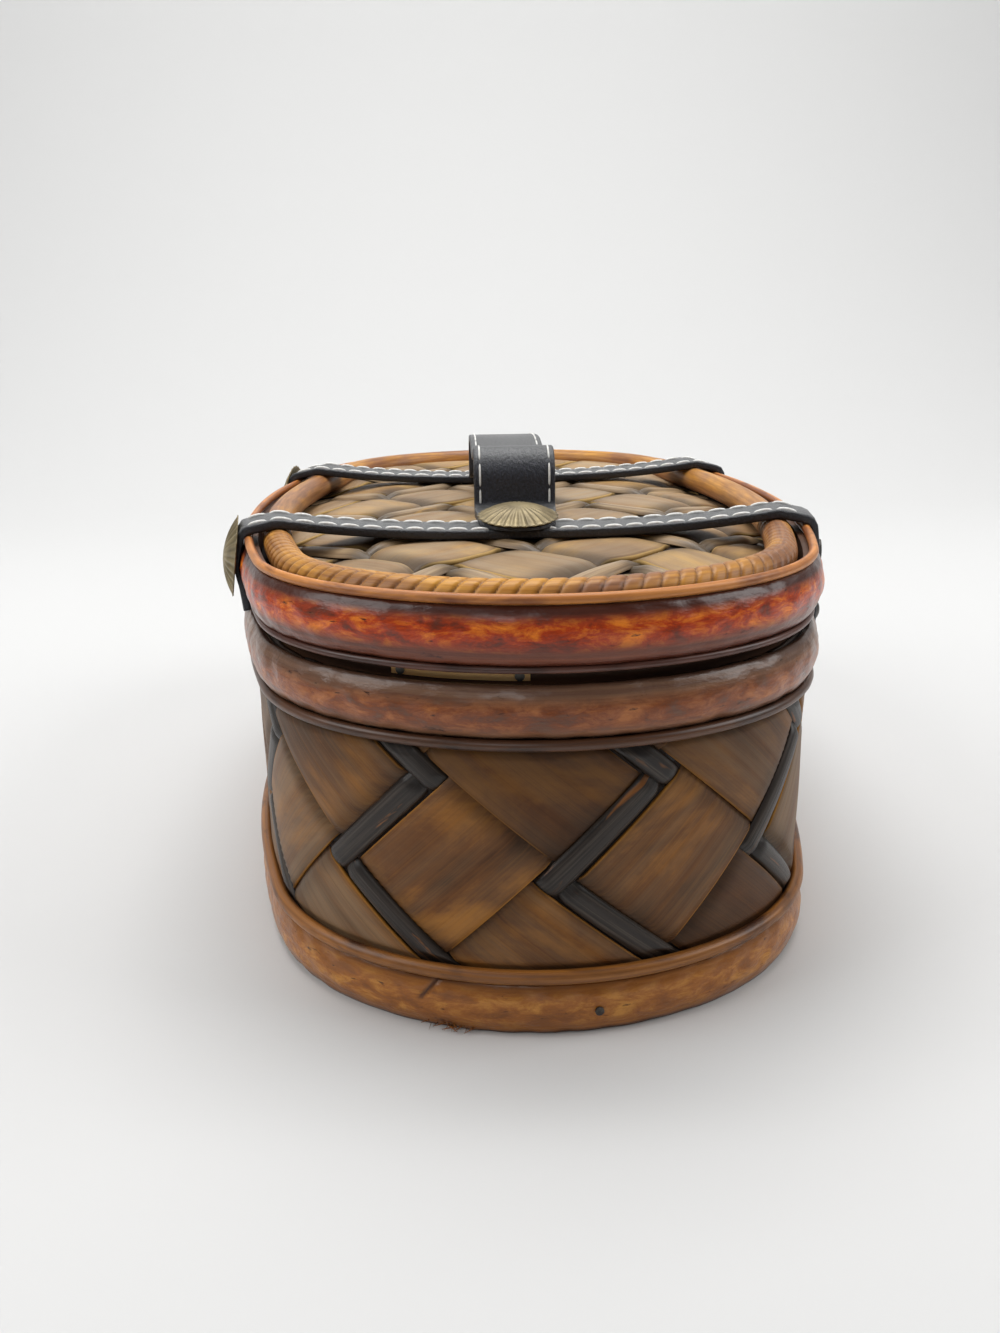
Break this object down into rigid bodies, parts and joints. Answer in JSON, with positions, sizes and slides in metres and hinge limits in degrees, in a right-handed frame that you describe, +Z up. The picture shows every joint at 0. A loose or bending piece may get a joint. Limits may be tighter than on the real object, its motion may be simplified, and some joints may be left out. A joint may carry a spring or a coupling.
{
  "type": "storage basket",
  "caption": "Oval lidded storage basket of woven leaf and vine between bent cane hoops, with a hinged woven lid, stitched leather straps, domed studs and a soft carry handle.",
  "frame": {"origin": "on the floor under the middle of the basket, in the plane that it stands on", "axes": "+Z up, +Y along the basket's length, +X towards the hinge side"},
  "size_m": [0.1461, 0.249, 0.1075],
  "materials": {
    "leaf_weave": "lacquered leaf and vine",
    "cane_brown": "stained and lacquered",
    "cane_light": "lacquered",
    "strap_leather": "grained",
    "seam_thread": "twisted thread",
    "antique_brass": "antiqued",
    "nail_steel": "dulled"
  },
  "bodies": {
    "basket": {"wall_weave": "leaf_weave", "floor_weave": "leaf_weave", "floor_strip": "cane_brown", "base_hoop": "cane_brown", "base_bead": "cane_light", "base_hoop_nails": "nail_steel", "rim_hoop": "cane_brown", "rim_bead": "cane_light", "rim_hoop_nails": "nail_steel", "rim_collar": "cane_light", "collar_splice": "cane_light", "collar_nails": "nail_steel", "hinge_tab_near": "strap_leather", "hinge_tab_far": "strap_leather", "hinge_rivets": "antique_brass"},
    "lid": {"lid_wall": "cane_light", "lid_hoop": "cane_brown", "lid_low_bead": "cane_brown", "lid_lip": "cane_light", "lid_hoop_nails": "nail_steel", "lid_inner_hoop": "cane_light", "lid_panel": "leaf_weave", "lid_rope": "cane_light", "strap_near": "strap_leather", "strap_far": "strap_leather", "strap_near_stitching": "seam_thread", "strap_far_stitching": "seam_thread", "front_conchos": "antique_brass", "front_rivets": "nail_steel", "rear_rivets": "nail_steel", "handle_conchos": "antique_brass", "handle_rivets": "nail_steel", "handle_leg_near": "strap_leather", "handle_leg_far": "strap_leather"},
    "handle": {"handle_grip": "strap_leather", "handle_stitching": "seam_thread"}
  },
  "joints": [
    {"name": "lid_hinge", "type": "hinge", "parent": "basket", "child": "lid", "pos_m": [0.07142, 0, 0.072], "axis": [0, 1, 0], "range_deg": [0, 105]},
    {"name": "handle_flex", "type": "slide", "parent": "lid", "child": "handle", "axis": [0, 0, 1], "range_m": [-0.006, 0], "stiffness_N_per_m": 150, "deforming": ["handle_leg_near", "handle_leg_far"]}
  ]
}
